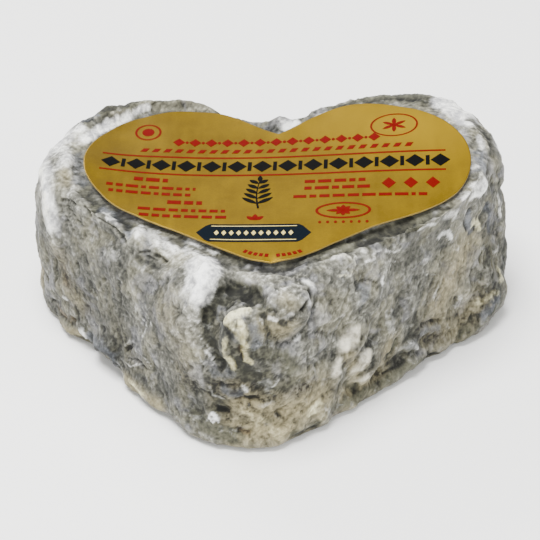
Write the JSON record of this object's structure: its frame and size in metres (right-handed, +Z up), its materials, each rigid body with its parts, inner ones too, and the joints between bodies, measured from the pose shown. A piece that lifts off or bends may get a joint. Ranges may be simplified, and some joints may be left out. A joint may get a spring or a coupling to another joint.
{
  "type": "heart-shaped goat cheese",
  "caption": "Small heart-shaped goat cheese with a craggy ash-grey mould rind and a heart-shaped gold paper label lying on its top.",
  "frame": {"origin": "middle of the bounding box, on the plane that the cheese rests on", "axes": "+Z up, +X from the left lobe to the right lobe, +Y from the point of the heart to the notch between the lobes"},
  "size_m": [0.0904, 0.0766, 0.0356],
  "materials": {
    "rind": "dry, wrinkled goat cheese rind: ash grey under patches of white and cream mould, matte",
    "label": "satin gold-ochre paper printed with fields of colour and simple shapes"
  },
  "bodies": {
    "root": {"cheese": "rind", "label": "label"}
  },
  "joints": []
}
